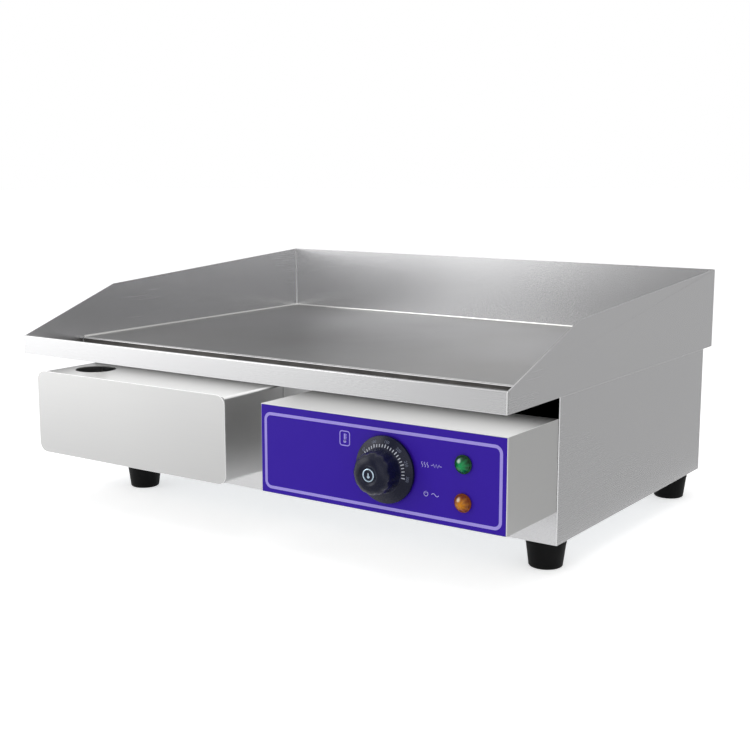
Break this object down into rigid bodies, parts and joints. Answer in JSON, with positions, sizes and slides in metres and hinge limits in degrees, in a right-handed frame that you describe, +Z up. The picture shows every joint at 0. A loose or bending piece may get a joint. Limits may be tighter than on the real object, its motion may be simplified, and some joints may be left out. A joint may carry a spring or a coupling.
{
  "type": "electric griddle",
  "caption": "Counter-top electric griddle: flat steel plate in a splash guard on a box body, with a thermostat knob box and a grease drawer at the front.",
  "frame": {"origin": "on the table under the middle of the whole object's box", "axes": "+X to the user's right, +Y to the back, +Z up; the knob and the drawer face -Y"},
  "size_m": [0.55, 0.463, 0.234],
  "materials": {
    "stainless": "brushed stainless sheet, even fine grain along the length",
    "plate_steel": "ground and lightly oiled cooking steel",
    "zinc_steel": "bright zinc plating",
    "black_plastic": "moulded black phenolic with a satin skin",
    "black_rubber": "matt moulded rubber",
    "label_film": "printed blue-violet polycarbonate film with a lilac line",
    "emblem_metal": "bright anodised disc",
    "green_lens": "clear green moulded lens",
    "amber_lens": "clear amber moulded lens",
    "element_sheath": "oxidised heater tube",
    "ceramic_fibre": "soft white ceramic fibre mat",
    "porcelain": "glazed white porcelain",
    "copper": "bare copper",
    "grey_nylon": "moulded dark grey nylon",
    "brown_sleeve": "brown silicone insulation",
    "blue_sleeve": "blue silicone insulation",
    "green_sleeve": "green silicone insulation"
  },
  "bodies": {
    "appliance": {"base_plate": "zinc_steel", "body_wrap": "stainless", "bulb_clip": "zinc_steel", "cable_gland": "grey_nylon", "capillary_tube": "copper", "clamp_bar_left": "zinc_steel", "clamp_bar_right": "zinc_steel", "clamp_nut_left_front": "zinc_steel", "clamp_nut_left_rear": "zinc_steel", "clamp_nut_right_front": "zinc_steel", "clamp_nut_right_rear": "zinc_steel", "control_housing": "stainless", "cutout_lead": "brown_sleeve", "drain_spout": "stainless", "drip_sleeve": "stainless", "earth_lead": "green_sleeve", "fascia_label": "label_film", "foot_front_left": "black_rubber", "foot_front_right": "black_rubber", "foot_rear_left": "black_rubber", "foot_rear_right": "black_rubber", "foot_screw_front_left": "zinc_steel", "foot_screw_front_right": "zinc_steel", "foot_screw_rear_left": "zinc_steel", "foot_screw_rear_right": "zinc_steel", "gland_nut": "grey_nylon", "grease_trough": "stainless", "griddle_plate": "plate_steel", "heat_shield": "zinc_steel", "heating_element_front": "element_sheath", "heating_element_rear": "element_sheath", "heating_lamp_body": "grey_nylon", "heating_lamp_lens": "green_lens", "insulation_mat": "ceramic_fibre", "live_jumper": "brown_sleeve", "live_lead": "brown_sleeve", "neutral_jumper": "blue_sleeve", "neutral_lead": "blue_sleeve", "overheat_cutout": "black_plastic", "power_lamp_body": "grey_nylon", "power_lamp_lens": "amber_lens", "rear_panel": "stainless", "rear_screw_left_lower": "zinc_steel", "rear_screw_left_upper": "zinc_steel", "rear_screw_right_lower": "zinc_steel", "rear_screw_right_upper": "zinc_steel", "sensing_bulb": "copper", "shield_nut_front": "zinc_steel", "shield_nut_rear": "zinc_steel", "splash_guard": "stainless", "switched_lead": "brown_sleeve", "terminal_block": "porcelain", "thermostat_body": "grey_nylon", "thermostat_screw_left": "zinc_steel", "thermostat_screw_right": "zinc_steel"},
    "knob": {"thermostat_knob": "black_plastic", "thermostat_shaft": "zinc_steel", "knob_emblem": "emblem_metal"},
    "drawer": {"grease_drawer": "stainless", "drawer_front": "stainless"}
  },
  "joints": [
    {"name": "knob_turn", "type": "hinge", "parent": "appliance", "child": "knob", "pos_m": [0.1605, -0.204, 0.095], "axis": [0, 1, 0], "range_deg": [0, 270]},
    {"name": "drawer_slide", "type": "slide", "parent": "appliance", "child": "drawer", "axis": [0, -1, 0], "range_m": [0, 0.078]}
  ]
}
